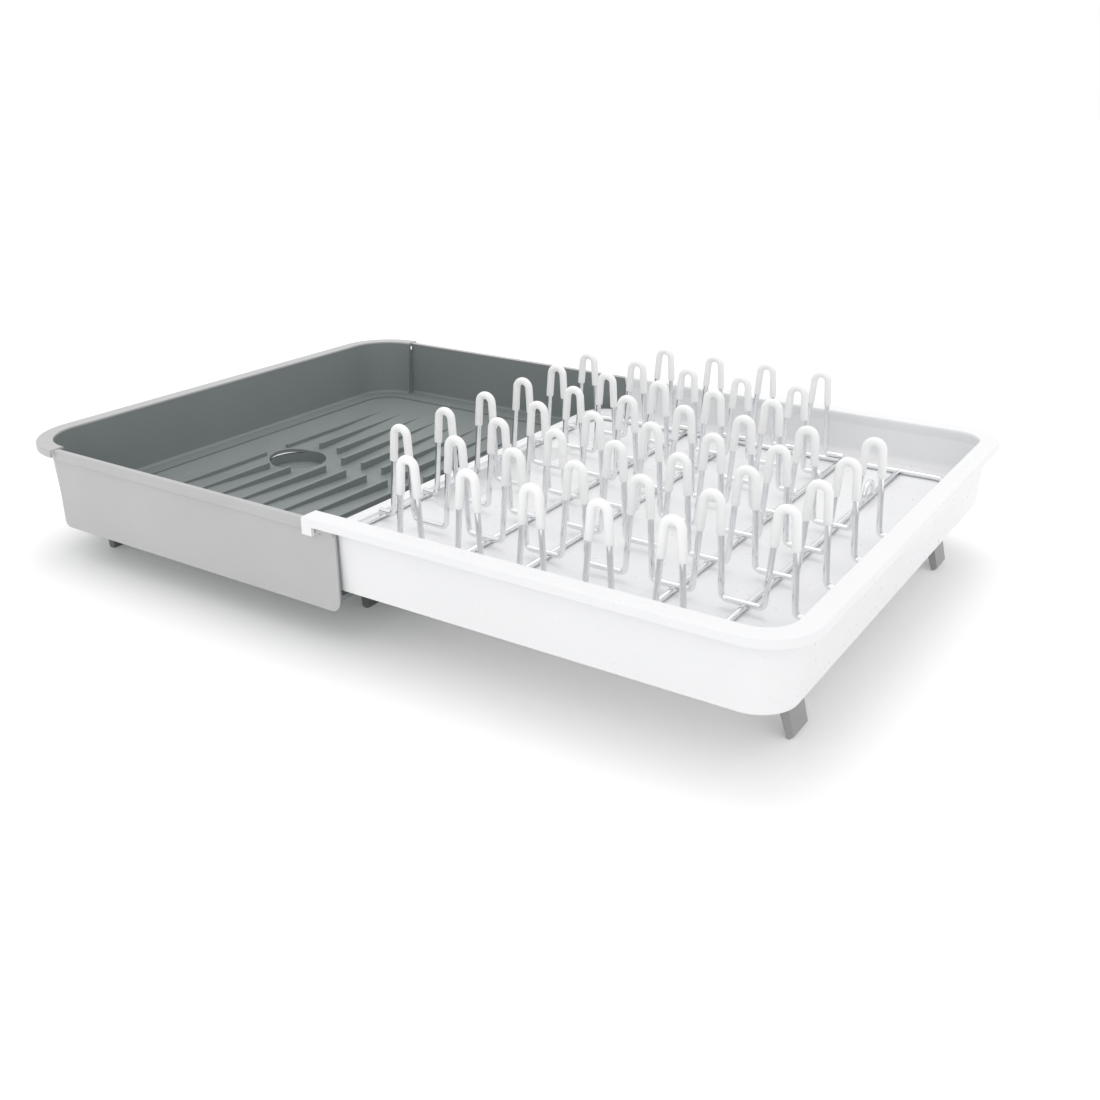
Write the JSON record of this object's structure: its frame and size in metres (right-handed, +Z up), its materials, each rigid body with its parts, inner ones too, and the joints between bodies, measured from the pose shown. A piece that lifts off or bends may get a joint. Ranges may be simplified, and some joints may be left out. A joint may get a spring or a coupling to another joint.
{
  "type": "bottle drying rack",
  "caption": "Extending bottle and dish drying rack: a tray with a lift-out wire rack of coated prongs, a ribbed slide-out tray with a drain well, and a swivelling spout.",
  "frame": {"origin": "on the table, under the middle of the rack's box with the extension tray pulled out", "axes": "+X along the slide from the grey extension tray to the white main tray, +Y to the back, +Z up"},
  "size_m": [0.538, 0.364, 0.1093],
  "materials": {
    "white_plastic": "fine satin",
    "grey_plastic": "satin",
    "chrome_wire": "polished",
    "tip_coating": "soft satin",
    "leg_plastic": "satin",
    "foot_rubber": "matte"
  },
  "bodies": {
    "main": {"main_tray": "white_plastic", "main_foot_front": "leg_plastic", "main_foot_back": "leg_plastic"},
    "extension": {"extension_tray": "grey_plastic", "extension_foot_front_left": "foot_rubber", "extension_foot_front_right": "foot_rubber", "extension_foot_back_left": "foot_rubber", "extension_foot_back_right": "foot_rubber"},
    "rack": {"rack_frame": "chrome_wire", "base_rod_1": "chrome_wire", "base_rod_2": "chrome_wire", "base_rod_3": "chrome_wire", "base_rod_4": "chrome_wire", "prong_row_a": "chrome_wire", "prong_row_b": "chrome_wire", "prong_row_c": "chrome_wire", "prong_row_d": "chrome_wire", "prong_row_e": "chrome_wire", "prong_row_f": "chrome_wire", "prong_row_g": "chrome_wire", "prong_row_h": "chrome_wire", "prong_tips_a": "tip_coating", "prong_tips_b": "tip_coating", "prong_tips_c": "tip_coating", "prong_tips_d": "tip_coating", "prong_tips_e": "tip_coating", "prong_tips_f": "tip_coating", "prong_tips_g": "tip_coating", "prong_tips_h": "tip_coating", "rod_loop": "chrome_wire"},
    "spout": {"drain_spout": "grey_plastic"}
  },
  "joints": [
    {"name": "tray_slide", "type": "slide", "parent": "main", "child": "extension", "axis": [1, 0, 0], "range_m": [0, 0.2135]},
    {"name": "rack_lift", "type": "slide", "parent": "main", "child": "rack", "axis": [0, 0, 1], "range_m": [0, 0.12]},
    {"name": "spout_swivel", "type": "hinge", "parent": "extension", "child": "spout", "pos_m": [-0.196, 0, 0.008], "axis": [0, 0, 1], "range_deg": [0, 180]}
  ]
}
